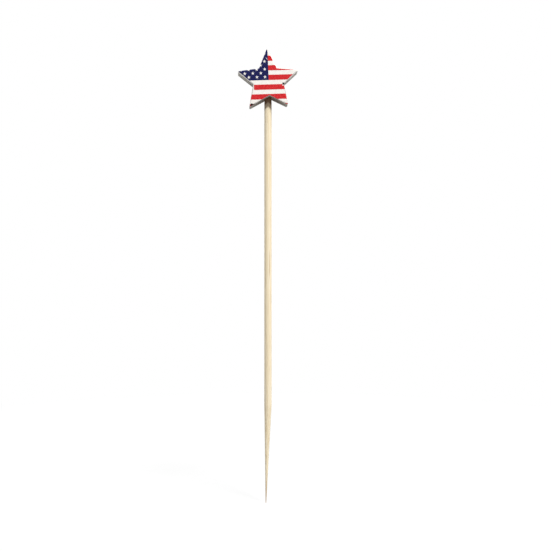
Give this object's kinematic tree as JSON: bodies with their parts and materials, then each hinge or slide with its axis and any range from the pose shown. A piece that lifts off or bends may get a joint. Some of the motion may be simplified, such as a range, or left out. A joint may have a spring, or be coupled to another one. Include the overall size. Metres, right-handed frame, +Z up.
{
  "type": "cocktail pick",
  "caption": "Slim bamboo pick with a long tapered point, glued into the notch of a small flat wooden star whose front is printed with stars and stripes.",
  "frame": {"origin": "the stick's point", "axes": "+Z up the stick towards the star, -Y out of the printed face, +X to the right of someone who looks at that face"},
  "size_m": [0.0158, 0.004, 0.12],
  "materials": {
    "bamboo": "sanded, with fine lengthwise fibres",
    "white_wood": "white lacquer over sawn wood",
    "white_film": "satin printed ground",
    "red_ink": "satin printed ink, slightly mottled",
    "blue_ink": "satin printed ink, slightly mottled",
    "wood_glue": "dried glue, brown and glossy"
  },
  "bodies": {
    "root": {"stick": "bamboo", "star_blank": "white_wood", "print_film": "white_film", "red_stripes": "red_ink", "blue_canton": "blue_ink", "glue_joint": "wood_glue"}
  },
  "joints": []
}
